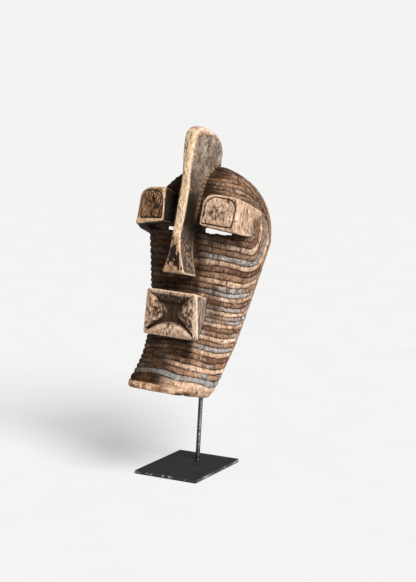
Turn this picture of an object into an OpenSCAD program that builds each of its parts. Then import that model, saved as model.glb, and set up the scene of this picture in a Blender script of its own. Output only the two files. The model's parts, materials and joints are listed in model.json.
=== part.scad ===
// Striated wooden mask on a steel display stand.
// Millimetres. +Z is up, the face looks towards -Y, and +X is the mask's own left.
// The origin is the centre of the felt's underside.

/* [Base] */
// Width of the base plate, side to side
plate_w = 101.6; // [95:0.1:110]
// Depth of the base plate, front to back
plate_d = 127; // [120:0.5:135]
// Thickness of the base plate
plate_t = 3.2; // [3:0.1:5]
// Corner radius of the base plate
plate_corner = 2; // [1:0.5:5]
// Thickness of the felt under the plate
felt_t = 1.5; // [1:0.5:2]

/* [Post] */
// Diameter of the post
post_d = 6.35; // [6:0.05:6.5]
// Length of the post, foot to tip
post_len = 308; // [304:1:312]
// Distance of the post's foot behind the plate's centre
post_y = 28; // [26:1:30]
// Backward lean of the post, in degrees
post_lean = 2; // [1:0.5:3]
// Sideways lean of the post and the mask, in degrees
roll = 2.5; // [0:0.5:4]
// Width and height of the weld fillet at the post's foot
weld = 3; // [2:0.5:4]

/* [Cap and crossbar] */
// Wall of the soft cap on the post's tip
cap_wall = 0.9; // [0.8:0.1:1.5]
// Length of the soft cap
cap_len = 18; // [12:1:19]
// Running clearance around the cap and inside it, on the radius
run_gap = 0.075; // [0.05:0.005:0.1]
// Height of the crossbar, along the post
bar_h = 26; // [24:1:28]
// Thickness of the crossbar, front to back
bar_t = 20; // [16:1:22]
// Depth of the blind hole in the crossbar
bore_depth = 20; // [18:1:21]
// Diameter of the crossbar's wood screws
screw_d = 3.5; // [3:0.1:4]
// Length of the crossbar's wood screws
screw_len = 26; // [22:1:27]

/* [Face] */
// Height of the chin's underside above the floor
mask_z = 107; // [100:1:115]
// Position of the mask's own origin, front to back
mask_y = -27; // [-30:1:-25]
// Backward lean of the mask, in degrees
mask_lean = 20; // [18:0.5:22]
// Height of the face, chin to top of the forehead
face_h = 337; // [330:0.5:345]
// Height of the brow line, where the forehead's dome starts
brow_z = 240; // [235:1:245]
// Half the width of the face at the chin
chin_half = 49.5; // [47:0.5:52]
// Half the width of the face at the brow
brow_half = 87.5; // [84:0.5:90]
// Depth of the face at its narrow waist
waist_depth = 56; // [52:0.5:60]
// Height of the waist
waist_z = 63; // [58:1:75]
// How far the chin stands out past the waist
chin_out = 28.5; // [20:0.5:35]
// Height of the plain band along the chin's lower edge
lip_z = 8; // [5:1:10]
// How far the brow stands out past the waist
brow_out = 23; // [20:0.5:28]
// How far the rim lies behind the mask's own origin
rim_y = 6.5; // [5:0.5:8]
// Thickness of the carved wall
wall = 12; // [10:0.5:14]
// Rounding of the chin's lower corners
chin_corner = 9; // [5:1:12]
// Angle between the chin's underside and the mask's own level, in degrees
chin_cut = 6; // [3:0.5:8]
// Height of the cut that rounds off the chin's rear corners
heel_h = 45; // [35:1:50]
// How far the left cheek swells forward to meet the mouth block
cheek_swell = 18; // [10:1:20]

/* [Features] */
// Height of the eye slits
slit_h = 10; // [9:0.5:11]
// Length of the eye slits
slit_len = 44.5; // [40:0.5:48]
// Distance of the slits' inner ends from the middle
slit_x = 20; // [18:0.5:22]
// Diameter of the tie holes at the rim
tie_d = 4; // [3:0.5:5]
// Thickness of the crest and the bridge of the nose
crest_t = 14; // [11:0.5:16]
// Width of the nose at its lower end
nose_w = 35; // [30:1:38]
// Width of the mouth block at its lower edge
mouth_w = 89.2; // [84:0.2:92]

/* [Hidden] */
plate_top = felt_t + plate_t;
mask_x = (mask_z - plate_top) * tan(roll);
cap_ri = post_d / 2 + run_gap;
cap_ro = cap_ri + cap_wall;
cap_end = 1.5;
end_gap = 0.05;
tip = post_len + end_gap + cap_end + end_gap;
bar_z0 = tip - bore_depth;
steps = 24;
dome = [0, 0.14, 0.28, 0.42, 0.55, 0.67, 0.78, 0.87, 0.94, 0.98, 0.998];
face_levels = [0, 4, 8, 14, 22, 32, 46, 62, 80, 100, 122, 146, 170, 192, 212, 228];

// ---- outline of the face ------------------------------------------------------

function half_width(z) = chin_half + (brow_half - chin_half) * z / brow_z
    + 10.6 * (z / brow_z) * (1 - z / brow_z);
function face_depth(z) = z < waist_z
    ? waist_depth + chin_out * pow(min(1, (waist_z - z) / (waist_z - lip_z)), 1.6)
    : waist_depth + brow_out * pow((z - waist_z) / (brow_z - waist_z), 2.75);
function inner_depth(z, off) = min(face_depth(z), face_depth(min(z + off, brow_z))) - off;
function squareness(z) = z < brow_z / 2 ? 2.15 + 4.9 * pow(1 - 2 * z / brow_z, 2)
    : 2.15 + 1.7 * (2 * z / brow_z - 1);
function swell(x, z) = cheek_swell * exp(-pow((x - 43) / 15, 2) - pow((z - 80) / 34, 2));
function fall(s, n) = s >= 1 ? 0 : pow(1 - pow(s, n), 1 / n);

// One level of the face, inset by off, with its open side carried back by extra
function level(z, off, extra) =
    let (zb = min(z, brow_z),
        s = max(0, (z - brow_z) / (face_h - off - brow_z)),
        trim = off == 0 && z < 14 ? chin_corner * pow(1 - z / 14, 2) : 0,
        w = (half_width(zb) - off) * fall(s, 1.85) - trim,
        d = ((off > 0 ? inner_depth(zb, off) : face_depth(zb)) + rim_y) * fall(s, 3.4),
        e = 2 / squareness(zb),
        front = [for (i = [0:steps]) let (c = cos(180 * i / steps), q = sin(180 * i / steps))
            let (x = w * sign(c) * pow(abs(c), e), y = rim_y - d * pow(max(q, 0), e))
            [x, off > 0 ? y : y - swell(x, z), z]])
    extra > 0 ? concat([[w, rim_y + extra, z]], front, [[-w, rim_y + extra, z]]) : front;

module loft(rings) {
    n = len(rings[0]);
    m = len(rings);
    polyhedron(
        points = [for (r = rings) each r],
        faces = concat(
            [for (k = [0:m - 2], i = [0:n - 1]) let (j = (i + 1) % n)
                [(k + 1) * n + i, k * n + i, k * n + j]],
            [for (k = [0:m - 2], i = [0:n - 1]) let (j = (i + 1) % n)
                [(k + 1) * n + i, k * n + j, (k + 1) * n + j]],
            [[for (i = [n - 1:-1:0]) i]],
            [[for (i = [0:n - 1]) (m - 1) * n + i]]));
}

// Everything higher than the chin's slanting underside plus h
module over_chin(h) difference() {
    children();
    translate([0, -face_depth(0), h]) rotate([chin_cut, 0, 0]) translate([-100, -60, -60])
        cube([200, 220, 60]);
}

// What is cut away behind the chin, so that its rear corners are round from the side
module heel() rotate([90, 0, 90]) linear_extrude(240, center = true)
    polygon(concat([[-26, -20], [20, -20], [20, 84], [rim_y, 84]],
        [for (a = [0:11.25:90]) [-26 + 26 * cos(a), heel_h + 3 - heel_h * sin(a)]]));

module face_solid() difference() {
    over_chin(0)
        loft([for (z = concat(face_levels, [for (s = dome) brow_z + s * (face_h - brow_z)]))
            level(z, 0, 0)]);
    heel();
}

module face_hollow() over_chin(wall * 0.85)
    loft([for (z = concat([for (z = face_levels) if (z > 3) z],
            [for (s = dome) brow_z + s * (face_h - wall - brow_z)]))
        level(z, wall, 6)]);

// A block between four front corners and four back corners, both listed
// lower -x, lower +x, upper +x, upper -x
module block(front, back)
    polyhedron(points = concat(front, back),
        faces = [[0, 3, 2], [0, 2, 1], [4, 5, 6], [4, 6, 7], [0, 1, 5], [0, 5, 4],
            [3, 7, 6], [3, 6, 2], [0, 4, 7], [0, 7, 3], [1, 2, 6], [1, 6, 5]]);

module on_mask() translate([mask_x, mask_y, mask_z]) rotate([-mask_lean, roll, 0]) children();
module on_post() translate([0, post_y, plate_top]) rotate([-post_lean, roll, 0]) children();
module above(z) difference() {
    children();
    translate([-60, -60, z - 40]) cube([120, 120, 40]);
}

module plate_outline(inset) hull() for (x = [-1, 1], y = [-1, 1])
    translate([x * (plate_w / 2 - plate_corner), y * (plate_d / 2 - plate_corner)])
        circle(r = plate_corner - inset, $fn = 32);

// ---- stand ---------------------------------------------------------------------

module base_felt() color([0.05, 0.05, 0.05]) linear_extrude(felt_t) plate_outline(0.5);

module base_plate() color([0.12, 0.11, 0.11])
    translate([0, 0, felt_t]) linear_extrude(plate_t) plate_outline(0);

module post() color([0.1, 0.1, 0.1])
    above(plate_top) on_post() translate([0, 0, -2]) cylinder(d = post_d, h = post_len + 2, $fn = 48);

module post_weld() color([0.16, 0.15, 0.15])
    above(plate_top) on_post() rotate_extrude($fn = 48) difference() {
        translate([post_d / 2, -1]) square([weld, weld + 1]);
        translate([post_d / 2 + weld, weld]) circle(r = weld, $fn = 48);
    }

module post_cap() color([0.85, 0.84, 0.8])
    on_post() difference() {
        translate([0, 0, tip - end_gap - cap_len]) cylinder(r = cap_ro, h = cap_len, $fn = 48);
        translate([0, 0, tip - cap_len - 5])
            cylinder(r = cap_ri, h = cap_len + 5 - cap_end - end_gap, $fn = 48);
    }

// ---- mask ----------------------------------------------------------------------

module slits() for (side = [0, 1]) mirror([side, 0, 0])
    translate([slit_x, -70, 229]) rotate([12.5, 0, 0]) translate([0, -30, 0])
        cube([slit_len, 70, slit_h]);

module face_shell() color([0.45, 0.32, 0.23])
    on_mask() difference() {
        face_solid();
        face_hollow();
        slits();
        translate([0, -3, 129]) rotate([0, 90, 0]) cylinder(d = tie_d, h = 220, center = true, $fn = 32);
    }

// Side view of the crest and the bridge of the nose, as [y, z]
crest_side = concat(
    [[-35, 205], [-107.5, 205], [-106.5, 218], [-108, 238], [-111, 262], [-114.5, 283],
     [-120, 303], [-125, 325]],
    [for (a = [0:15:90]) [-100 - 28.5 * cos(a), 350 + 22.5 * sin(a)]],
    [for (a = [90:-15:0]) [-72 + 33 * cos(a), 343 + 30 * sin(a)]],
    [[-33, 328], [-33, 300]]);

module nose_crest() color([0.6, 0.47, 0.34])
    on_mask() difference() {
        union() {
            rotate([90, 0, 90]) translate([0, 0, -crest_t / 2]) linear_extrude(crest_t)
                polygon(crest_side);
            block([[-nose_w / 2, -95.5, 164], [nose_w / 2, -95.5, 164],
                   [crest_t / 2 - 0.5, -107.5, 207], [0.5 - crest_t / 2, -107.5, 207]],
                  [[-nose_w / 2, -35, 172], [nose_w / 2, -35, 172],
                   [crest_t / 2 + 2, -35, 207], [-crest_t / 2 - 2, -35, 207]]);
        }
        face_solid();
    }

module eye_block(side) difference() {
    // the proper right one stands a little taller
    top = 279 + 3 * side;
    mirror([side, 0, 0]) block([[28, -101.5, 231.5], [79.8, -90.5, 230.7], [80, -97, top], [30.2, -113.6, top]],
          [[28, -30, 247], [88, -30, 237], [80, -30, top], [30.2, -30, top]]);
    face_solid();
}

module left_eye_block() color([0.7, 0.55, 0.4]) on_mask() eye_block(0);

module right_eye_block() color([0.66, 0.52, 0.38]) on_mask() eye_block(1);

module mouth_block() color([0.68, 0.53, 0.38])
    on_mask() difference() {
        block([[-mouth_w / 2, -67, 79], [mouth_w / 2, -67, 79], [40.5, -88.6, 141], [-40.5, -88.6, 141]],
              [[-mouth_w / 2 + 2, -20, 88], [mouth_w / 2 - 2, -20, 88], [37, -20, 144], [-37, -20, 144]]);
        face_solid();
        // the deep middle of the mouth
        translate([0, -82, 110]) rotate([-19, 0, 0]) cube([24, 20, 24], center = true);
    }

module crossbar() color([0.62, 0.5, 0.36])
    difference() {
        intersection() {
            on_post() translate([-90, -bar_t / 2, bar_z0]) cube([180, bar_t, bar_h]);
            on_mask() face_hollow();
        }
        on_post() translate([0, 0, bar_z0 - 5])
            cylinder(r = cap_ro + run_gap, h = bore_depth + 5, $fn = 48);
    }

module crossbar_screws() color([0.6, 0.6, 0.62])
    for (side = [-1, 1]) on_post()
        translate([side * 62, bar_t / 2, bar_z0 + bar_h / 2]) rotate([0, 0, -side * 40])
            rotate([0, side * 90, 0]) {
                cylinder(d = screw_d, h = screw_len, $fn = 24);
                translate([0, 0, -0.5]) cylinder(d1 = screw_d * 2, d2 = screw_d, h = 2.5, $fn = 24);
            }

base_felt();
base_plate();
post();
post_weld();
post_cap();
face_shell();
nose_crest();
left_eye_block();
right_eye_block();
mouth_block();
crossbar();
crossbar_screws();
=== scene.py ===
"""Looks of a striated wooden mask on a steel display stand.

Carved pieces are made from distance fields in the mask's own frame, in millimetres: +Z runs up
the face, -Y out of it and +X to the mask's own left. Blender's objects are in metres.
"""
import json
from math import asin, atan2, cos, pi, radians, sin, tan

import bpy
import numpy as np
from mathutils import Matrix, Vector


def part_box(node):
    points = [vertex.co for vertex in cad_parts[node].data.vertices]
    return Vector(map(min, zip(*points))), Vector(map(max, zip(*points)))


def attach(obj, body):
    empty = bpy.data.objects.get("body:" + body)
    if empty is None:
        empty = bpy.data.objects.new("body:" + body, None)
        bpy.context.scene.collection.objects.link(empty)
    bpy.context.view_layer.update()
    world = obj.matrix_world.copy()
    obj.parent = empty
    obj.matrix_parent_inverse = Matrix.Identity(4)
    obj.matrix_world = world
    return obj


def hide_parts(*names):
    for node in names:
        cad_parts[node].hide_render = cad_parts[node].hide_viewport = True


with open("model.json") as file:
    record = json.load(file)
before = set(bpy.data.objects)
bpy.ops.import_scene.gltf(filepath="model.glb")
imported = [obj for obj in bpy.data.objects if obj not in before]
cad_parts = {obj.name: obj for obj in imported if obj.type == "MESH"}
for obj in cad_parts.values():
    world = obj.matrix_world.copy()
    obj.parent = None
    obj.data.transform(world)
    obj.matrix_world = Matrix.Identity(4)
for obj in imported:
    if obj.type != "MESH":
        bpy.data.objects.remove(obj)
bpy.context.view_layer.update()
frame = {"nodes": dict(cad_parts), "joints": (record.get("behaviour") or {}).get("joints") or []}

MM = 0.001

# ---- places, from the frame and the driving dimensions ---------------------------------------

swivel = next(j for j in frame["joints"] if j["name"] == "mask_swivel")
POST_AXIS = Vector(swivel["axis"]).normalized()
if POST_AXIS.z < 0:
    POST_AXIS = -POST_AXIS
POST_LEAN = asin(POST_AXIS.y)
ROLL = atan2(POST_AXIS.x, POST_AXIS.z)
PLATE_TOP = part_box("base_plate")[1][2] / MM
MASK_LEAN = radians(20)  # backwards, from upright
MASK_Z = 107.0  # height of the mask frame's origin
MASK_ORIGIN = Vector(((MASK_Z - PLATE_TOP) * tan(ROLL), -27.0, MASK_Z))
POST_FOOT = Vector((0.0, 28.0, PLATE_TOP))
BORE_TOP = 309.6  # end of the batten's blind hole, along the post from its foot
BAR_H, BAR_T = 26.0, 20.0
BORE_R, BORE_DEPTH = 4.225, 20.0
BAR_Z = BORE_TOP - BORE_DEPTH

FACE_H, BROW_Z = 337.0, 240.0  # top of the dome, and where the face is widest
CHIN_HALF, BROW_HALF, CHEEK_SWELL = 49.5, 87.5, 10.6  # half widths
WAIST_Z, WAIST_DEPTH = 63.0, 56.0  # the shallowest part, between chin and mouth
CHIN_OUT, BROW_OUT = 28.5, 23.0  # how much further chin and brow stand out
LIP_Z, CHIN_CORNER, CHIN_SLOPE = 8.0, 9.0, tan(radians(6))
CHIN_Y = -(WAIST_DEPTH + CHIN_OUT)
RIM_Y, WALL = 6.5, 12.0  # plane of the open back, and the wall's thickness
THIN_WALL, LOW_RIM = 4.0, 5.0  # what the wall and the rim lose beside the right eye
CHEEK_FILL, CHEEK_X, CHEEK_Z = 18.0, 43, 80  # a swelling beside the mouth, on the left
HEEL_H, HEEL_RUN, HEEL_TOP = 45.0, 26, 84  # what is cut away behind the chin
SLIT_Z, SLIT_RISE = 229, radians(12.5)
SLIT_FROM, SLIT_TO = 21, 63  # distances from the middle line
TIE_Z, CRACK_X = 129, 38
EDGE_REACH = 14.0  # fields are kept within this of zero


def turn(lean):
    """A frame leaning back by lean and sideways by the roll, as a 3x3 array."""
    return np.array(Matrix.Rotation(ROLL, 3, "Y") @ Matrix.Rotation(-lean, 3, "X"))


MASK_TURN, POST_TURN = turn(MASK_LEAN), turn(POST_LEAN)


def mask_to_row(points):
    return (points @ MASK_TURN.T + np.array(MASK_ORIGIN)) * MM


def mask_to_post(x, y, z):
    """Places in the mask's frame, given in the post's frame."""
    both = POST_TURN.T @ MASK_TURN
    shift = POST_TURN.T @ np.array(MASK_ORIGIN - POST_FOOT)
    return [both[i, 0] * x + both[i, 1] * y + both[i, 2] * z + shift[i] for i in range(3)]


# ---- small field tools -----------------------------------------------------------------------

def smax(a, b, r):
    """The larger of two fields, with the edge between them rounded by about r."""
    return np.maximum(a, b) + np.maximum(r - np.abs(a - b), 0) ** 2 / (4 * r)


def smin(a, b, r):
    return -smax(-a, -b, r)


def ramp(x, lo, hi):
    t = np.clip((x - lo) / (hi - lo), 0, 1)
    return t * t * (3 - 2 * t)


LATTICE = np.random.default_rng(7).random((32, 32, 32)).astype(np.float32) * 2 - 1


def noise(p, size, shift=0):
    """Smooth noise from -1 to 1 at points p, with lumps of that size (one number or three)."""
    q = p / np.asarray(size, dtype=np.float64) + shift * 7.31
    cell = np.floor(q).astype(np.int64)
    f = q - cell
    f = f * f * (3 - 2 * f)
    out = np.zeros(len(p))
    for i in (0, 1):
        for j in (0, 1):
            for k in (0, 1):
                corner = (cell + (i, j, k)) % 32
                weight = (np.abs(1 - i - f[:, 0]) * np.abs(1 - j - f[:, 1])
                          * np.abs(1 - k - f[:, 2]))
                out += weight * LATTICE[corner[:, 0], corner[:, 1], corner[:, 2]]
    return out


def rough(p, size, shift=0, layers=3):
    """Noise with finer layers added, from about -1 to 1."""
    size = np.asarray(size, dtype=np.float64)
    return sum(noise(p, size / 2 ** n, shift + n) * 0.55 ** n for n in range(layers)) / 1.5


def planes(front, back):
    """Outward planes of a block between four front and four back corners, listed lower -x,
    lower +x, upper +x, upper -x. Order: front, back, below, above, -x side, +x side."""
    c = np.array(front + back, dtype=float)
    middle = c.mean(axis=0)
    out = []
    for quad in ((0, 1, 2, 3), (4, 5, 6, 7), (0, 1, 5, 4), (3, 2, 6, 7), (0, 3, 7, 4),
                 (1, 2, 6, 5)):
        q = c[list(quad)]
        n = np.cross(q[2] - q[0], q[3] - q[1])
        n /= np.linalg.norm(n)
        if n @ (q.mean(axis=0) - middle) < 0:
            n = -n
        out.append((n, n @ q.mean(axis=0)))
    return out


def plane_distance(plane, x, y, z):
    n, d = plane
    return n[0] * x + n[1] * y + n[2] * z - d


def polygon_distance(points, y, z):
    """Signed distance from a closed outline in a plane, negative inside."""
    best = np.full(np.broadcast(y, z).shape, 1e9)
    inside = np.zeros(best.shape, dtype=bool)
    for (ay, az), (by, bz) in zip(points, points[1:] + points[:1]):
        ey, ez = by - ay, bz - az
        t = np.clip(((y - ay) * ey + (z - az) * ez) / (ey * ey + ez * ez), 0, 1)
        best = np.minimum(best, np.hypot(y - ay - t * ey, z - az - t * ez))
        if az != bz:
            crosses = ((az > z) != (bz > z)) & (y < (by - ay) * (z - az) / (bz - az) + ay)
            inside ^= crosses
    return np.where(inside, -best, best)


def grid(lo, hi, step):
    """Coordinates of a box's sample points, shaped so that a field of them fills the box."""
    axes = [np.arange(a, b + step, step, dtype=np.float32) for a, b in zip(lo, hi)]
    return axes[0][:, None, None], axes[1][None, :, None], axes[2][None, None, :]


def surface(field, lo, step):
    """Vertices and quads of the zero surface of a sampled field that is negative inside."""
    field = np.pad(field[1:-1, 1:-1, 1:-1], 1, constant_values=step)
    inside = field < 0
    mixed = sum(inside[i:inside.shape[0] - 1 + i, j:inside.shape[1] - 1 + j,
                       k:inside.shape[2] - 1 + k].astype(np.int8)
                for i in (0, 1) for j in (0, 1) for k in (0, 1))
    cells = np.argwhere((mixed > 0) & (mixed < 8))
    corners = np.array([(i, j, k) for i in (0, 1) for j in (0, 1) for k in (0, 1)])
    value = np.stack([field[tuple((cells + c).T)] for c in corners], axis=1).astype(float)
    total, count = np.zeros((len(cells), 3)), np.zeros(len(cells))
    for a in range(8):
        for b in range(a + 1, 8):
            if np.abs(corners[a] - corners[b]).sum() != 1:
                continue
            crossing = (value[:, a] < 0) != (value[:, b] < 0)
            gap = np.where(crossing, value[:, a] - value[:, b], 1)
            t = value[:, a] / gap
            at = corners[a] + t[:, None] * (corners[b] - corners[a])
            total += at * crossing[:, None]
            count += crossing
    points = np.array(lo) + step * (cells + total / count[:, None])
    number = np.full(mixed.shape, -1, dtype=np.int32)
    number[tuple(cells.T)] = np.arange(len(cells))
    quads = []
    for axis in range(3):
        low = [slice(None)] * 3
        high = [slice(None)] * 3
        low[axis], high[axis] = slice(None, -1), slice(1, None)
        flips = np.argwhere(inside[tuple(low)] != inside[tuple(high)])
        u, v = np.eye(3, dtype=int)[(axis + 1) % 3], np.eye(3, dtype=int)[(axis + 2) % 3]
        ring = [number[tuple((flips - d).T)] for d in (u + v, v, 0 * u, u)]
        quad = np.stack(ring, axis=1)
        out = inside[tuple(flips.T)]
        quads.append(np.where(out[:, None], quad, quad[:, ::-1]))
    return points, np.concatenate(quads)


def vertex_normals(points, quads):
    a, b, c, d = (points[quads[:, i]] for i in range(4))
    face = np.cross(c - a, d - b)
    out = np.stack([np.bincount(quads.ravel(), np.repeat(face[:, k], 4), len(points))
                    for k in range(3)], axis=1)
    return out / np.maximum(np.linalg.norm(out, axis=1), 1e-9)[:, None]


def srgb(*rgb):
    """A linear colour from 8-bit screen values."""
    c = np.array(rgb, dtype=float) / 255
    return np.where(c < 0.04045, c / 12.92, ((c + 0.055) / 1.055) ** 2.4)


def mix(a, b, t):
    return a + (b - a) * np.asarray(t)[..., None]


def coats(colour, *layers):
    """The colour under some coats, each a pigment and how far it covers."""
    for pigment, cover in layers:
        colour = mix(colour, pigment, cover)
    return colour


def spots(p, size, shift, lo, hi, layers=3):
    """Rough noise as a share: 0 up to lo and 1 from hi."""
    return ramp(rough(p, size, shift, layers), lo, hi)


def add_object(name, data):
    obj = bpy.data.objects.new(name, data)
    bpy.context.scene.collection.objects.link(obj)
    return obj


def make(name, points, quads, body, nodes, colour, state):
    """A mesh object with its vertex paint: colour, and state, whose columns are grime with painted
    shade, and wear.
    """
    dark = 1 - ramp(colour @ np.array([0.3, 0.59, 0.11]), 0.03, 0.13)
    state[:, 0] = np.maximum(state[:, 0], dark)
    mesh = bpy.data.meshes.new(name)
    mesh.vertices.add(len(points))
    mesh.vertices.foreach_set("co", points.astype(np.float32).ravel())
    mesh.loops.add(quads.size)
    mesh.loops.foreach_set("vertex_index", quads.astype(np.int32).ravel())
    mesh.polygons.add(len(quads))
    mesh.polygons.foreach_set("loop_start", np.arange(0, quads.size, 4, dtype=np.int32))
    mesh.update(calc_edges=True)
    mesh.polygons.foreach_set("use_smooth", np.ones(len(quads), dtype=bool))
    for label, values in (("paint", colour), ("state", state)):
        layer = mesh.color_attributes.new(label, "FLOAT_COLOR", "POINT")
        rgba = np.ones((len(points), 4), dtype=np.float32)
        rgba[:, :values.shape[1]] = np.clip(values, 0, 1)
        layer.data.foreach_set("color", rgba.ravel())
    mesh.validate()
    obj = add_object(name, mesh)
    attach(obj, body)
    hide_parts(*nodes)
    return obj


def carved(name, points, normal, quads, painted, node, side=1):
    """A piece of the mask. painted holds its colour, its state and how far each point is pushed
    out. side is -1 for a piece mirrored to the mask's right."""
    colour, state, push = painted
    points = (points + normal * push[:, None]) * (side, 1, 1)
    return make(name, mask_to_row(points), quads[:, ::side], "mask", [node], colour, state)


# ---- the face --------------------------------------------------------------------------------

def fall(s, n):
    """How a width falls from 1 to 0 as s goes from 0 to 1, like a rounded corner."""
    return np.maximum(1 - np.clip(s, 0, 1) ** n, 0) ** (1 / n)


def half_width(z):
    t = z / BROW_Z
    return CHIN_HALF + (BROW_HALF - CHIN_HALF) * t + CHEEK_SWELL * t * (1 - t)


def face_depth(z):
    """How far the face stands out at each height, ahead of y = 0."""
    low = CHIN_OUT * np.clip((WAIST_Z - z) / (WAIST_Z - LIP_Z), 0, 1) ** 1.6
    high = BROW_OUT * np.clip((z - WAIST_Z) / (BROW_Z - WAIST_Z), 0, 2) ** 2.75
    return WAIST_DEPTH + low + high


def squareness(z):
    """Exponent of the outline's cross-section: boxy at the chin, near 2 at mid height."""
    t = 2 * z / BROW_Z
    return np.where(t < 1, 2.15 + 4.9 * np.clip(1 - t, 0, 1) ** 2, 2.15 + 1.7 * (t - 1))


def section(x, y, z, inset):
    """How far out of the face's outline, inset by inset, a point is: 1 on the outline."""
    zb = np.clip(z, 0, BROW_Z)
    s = (z - BROW_Z) / (FACE_H - inset - BROW_Z)
    depth = face_depth(zb)
    trim = 0
    if inset:
        depth = np.minimum(depth, face_depth(np.minimum(zb + inset, BROW_Z))) - inset
    else:
        trim = CHIN_CORNER * np.clip(1 - z / 14, 0, 1) ** 2 * (0.3 + 0.7 * ramp(x, -20, 20))
        y = y + CHEEK_FILL * np.exp(-((x - CHEEK_X) / 15) ** 2 - ((z - CHEEK_Z) / 34) ** 2)
    w = (half_width(zb) - inset) * np.maximum(fall(s, 1.85), 0.02) - trim
    d = (depth + RIM_Y) * np.maximum(fall(s, 3.4), 0.02)
    n = squareness(zb)
    ahead = np.maximum(RIM_Y - y, 0)
    rho = ((np.abs(x) / w) ** n + (ahead / d) ** n) ** (1 / n)
    return np.where(z > FACE_H - inset, rho + (z - FACE_H + inset), rho)


def as_distance(rho, step):
    """A field's rough distance, in mm, from the surface where it is 1."""
    grad = np.gradient(rho, step)
    size = np.sqrt(sum(g * g for g in grad))
    return np.clip((rho - 1.0) / np.maximum(size, 1e-4), -EDGE_REACH, EDGE_REACH)


def below_chin(y, z, h):
    """Distance below the chin's slanting underside raised by h."""
    return (h + (y - CHIN_Y) * CHIN_SLOPE - z) / (1 + CHIN_SLOPE ** 2) ** 0.5


def slit_field(x, y, z, side):
    """Distance outside one eye slit: a flat slot with worn edges that rises inwards."""
    up = (z - SLIT_Z) * cos(SLIT_RISE) - (y + 70) * sin(SLIT_RISE)
    across = side * x
    worn = 0.5 * np.sin(across / 2.9) + 0.3 * np.sin(across / 1.3 + 1)
    low, high = (1.3, 8.6) if side > 0 else (0.4, 5.6)
    ends = np.maximum(SLIT_FROM - across, across - SLIT_TO)
    return smax(ends, np.maximum(low + worn - up, up - high), 2.5)


def heel():
    """What is cut away behind the chin, seen from the side, as (y, z)."""
    turns = [radians(11.25 * i) for i in range(9)]
    return [(-HEEL_RUN, -20), (20, -20), (20, HEEL_TOP), (RIM_Y, HEEL_TOP)] + [
        (-HEEL_RUN + HEEL_RUN * cos(a), HEEL_H + 3 - HEEL_H * sin(a)) for a in turns]


def face_field(x, y, z, step):
    outer = as_distance(section(x, y, z, 0), step)
    inner = as_distance(section(x, y, z, WALL), step)
    inner = smax(inner, below_chin(y, z, WALL * 0.85), 4.0)
    beside_eye = ramp(-x, 25, 60) * ramp(z, 195, 228) * ramp(-z, -290, -262)
    inner = inner - THIN_WALL * beside_eye
    f = smax(outer, y - RIM_Y + LOW_RIM * beside_eye, 3.5)
    f = smax(f, below_chin(y, z, 0), 5.0)
    f = smax(f, -polygon_distance(heel(), y[0], z[0])[None], 4.0)
    f = smax(f, -inner, 3.0)
    for side in (-1, 1):
        slot = slit_field(x, y, z, side)
        near = (y > -95) & (y < -25)
        f = np.where(near, smax(f, -slot, 2.0), f)
    run = half_width(TIE_Z) - np.abs(x)
    hole = 1.9 - np.sqrt((y + 2 - 1.75 * run) ** 2 * 0.25 + (z - TIE_Z - 0.3 * run) ** 2)
    f = smax(f, hole, 0.8)
    crack = 4.6 - np.hypot(x - CRACK_X + 0.12 * (y + 84), z + 0.6 - (y - CHIN_Y) * CHIN_SLOPE)
    return smax(f, np.minimum(crack, -20 - y), 1.0)


def outline_share(x, z):
    """0 on the middle line, 1 on the face's outline as seen from the front."""
    s = np.clip((z - BROW_Z) / (FACE_H - BROW_Z), 0, 1)
    w = half_width(np.clip(z, 0, BROW_Z))
    return ((np.abs(x) / w) ** 1.85 + s ** 1.85) ** (1 / 1.85)


BAND_RIM = 181.0  # the striation that runs along the rim beside the eyes
BAND_EYE = 254.0  # height about which the striations close round the eyes
BAND_START, BAND_PITCH = 26.0, 7.25  # the first crown and the mean spacing


def striations(p):
    """The running number of the striations: whole on the crown of each, half in the grooves."""
    x, y, z = p.T
    inward = np.maximum(RIM_Y - y, 0) + (1 - outline_share(x, z)) * BROW_HALF
    lift = (9 + 24 * (np.clip(z, 0, 260) / BROW_Z) ** 2) * np.clip(
        1 - np.maximum(RIM_Y - y, 0) / 52, 0, 1) ** 2.2
    waver = 2.2 * noise(p, (60, 60, 26), 3) + 0.8 * noise(p, (17, 17, 10), 5)
    sag = 5.5 * np.exp(-((x + 5) / 24) ** 2 - ((z - 30) / 18) ** 2)
    level = z - lift - sag + waver
    drop = 62 * np.clip(1 + y / 58, 0, 1) ** 2.2
    above = BAND_EYE - 1.3 * (z + drop - BAND_EYE) + 1.5 * waver
    height = smin(level, above, 14.0)
    height = smin(height, BAND_RIM + inward + 1.6 * noise(p, 34, 9), 12.0)
    phase = 2 * pi * (height - BAND_START) / (24 * BAND_PITCH)
    return (height - BAND_START) / BAND_PITCH - 0.6 * np.sin(phase)


TAN, PALE, GREY = srgb(205, 168, 140), srgb(252, 224, 197), srgb(154, 155, 155)
BROWN, DARK, BLACK = srgb(94, 60, 44), srgb(54, 36, 23), srgb(22, 15, 10)
MID, UMBER, ASHEN = srgb(152, 118, 94), srgb(70, 43, 28), srgb(104, 100, 95)
DOME, DOME_STREAK, RIM_STRIP = srgb(156, 117, 89), srgb(68, 47, 35), srgb(158, 118, 90)
LIP, LIP_WORN = srgb(178, 134, 102), srgb(226, 188, 155)
# soot colours, also used as painted shade on the face
SOOT_AND_SHADE, THICK_SOOT_AND_SHADE = srgb(76, 48, 27), srgb(20, 12, 6)
HOLLOW, HOLLOW_STAIN, HOLLOW_RIM = srgb(112, 78, 54), srgb(62, 42, 30), srgb(138, 100, 70)
SMUDGE, PIT, EYE_SHADE = srgb(138, 101, 73), srgb(76, 52, 37), srgb(15, 10, 6)
PANEL_TINT, BORDER, BORDER_PALE = srgb(214, 190, 158), srgb(160, 114, 70), srgb(255, 208, 160)
ASH, ASH_STREAK, ASH_LOW = srgb(186, 170, 154), srgb(112, 98, 86), srgb(80, 66, 54)
CREST_FRONT, ROOT_TAN = srgb(255, 222, 180), srgb(128, 98, 74)
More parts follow.
